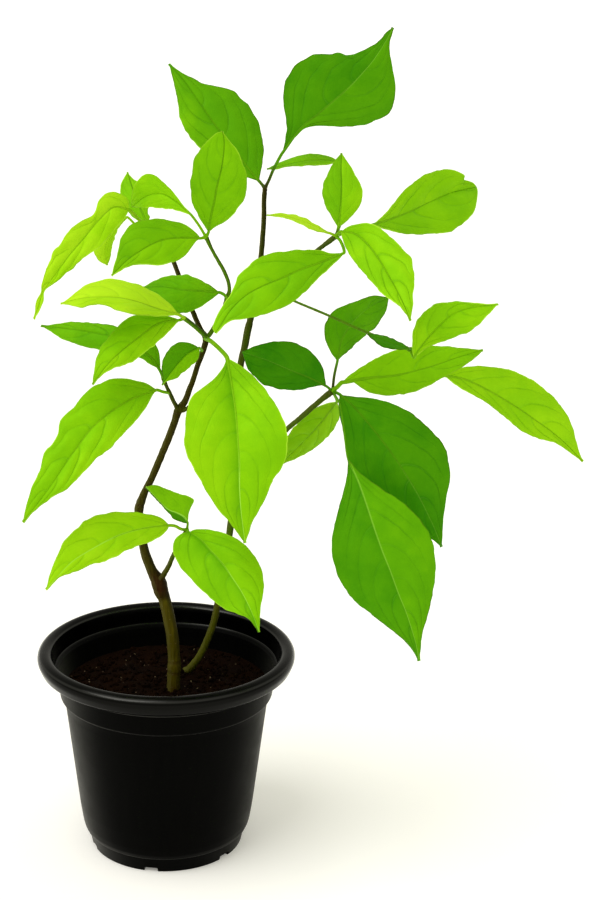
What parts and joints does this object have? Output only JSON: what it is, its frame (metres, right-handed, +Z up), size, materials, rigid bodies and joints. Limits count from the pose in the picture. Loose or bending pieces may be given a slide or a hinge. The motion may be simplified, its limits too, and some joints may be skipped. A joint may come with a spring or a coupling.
{
  "type": "potted umbrella plant",
  "caption": "Young umbrella plant in a plain black nursery pot with soil: thin branching stems carrying simple, pointed, ribbed light green leaves.",
  "frame": {"origin": "middle of the pot's foot, on the surface it stands on", "axes": "+Z up, -Y towards the front as pictured, +X to the right of that view"},
  "size_m": [0.3385, 0.165, 0.4782],
  "materials": {
    "pot": "satin",
    "soil": "matte",
    "bark": "matte",
    "leaf_lime": "satin",
    "leaf_yellow": "satin",
    "leaf_green": "satin",
    "leaf_deep": "satin"
  },
  "bodies": {
    "root": {"pot": "pot", "soil": "soil", "main_stem": "bark", "side_stem": "bark", "leaf_01_top_right": "leaf_green", "leaf_02_top_left": "leaf_green", "leaf_03_centre_up": "leaf_lime", "leaf_04_left_light": "leaf_lime", "leaf_05_left_upright": "leaf_green", "leaf_06_left_drooping": "leaf_yellow", "leaf_07_left_pointed": "leaf_green", "leaf_08_left_middle": "leaf_lime", "leaf_09_left_shaded": "leaf_green", "leaf_10_left_yellow": "leaf_yellow", "leaf_11_left_folded": "leaf_lime", "leaf_12_left_dark": "leaf_green", "leaf_13_inner_small": "leaf_green", "leaf_14_left_large": "leaf_lime", "leaf_15_low_small": "leaf_green", "leaf_16_low_left": "leaf_lime", "leaf_17_low_right": "leaf_lime", "leaf_18_front_large": "leaf_lime", "leaf_19_centre_long": "leaf_lime", "leaf_20_high_up": "leaf_lime", "leaf_21_right_long": "leaf_lime", "leaf_22_high_front": "leaf_yellow", "leaf_23_high_left_thin": "leaf_yellow", "leaf_24_high_back": "leaf_green", "leaf_25_hub_left": "leaf_deep", "leaf_26_hub_up": "leaf_deep", "leaf_27_hub_right": "leaf_lime", "leaf_28_right_up": "leaf_lime", "leaf_29_far_right": "leaf_lime", "leaf_30_right_small": "leaf_deep", "leaf_31_hub_back": "leaf_lime", "leaf_32_hub_dark": "leaf_deep", "leaf_33_bottom_large": "leaf_lime"}
  },
  "joints": []
}
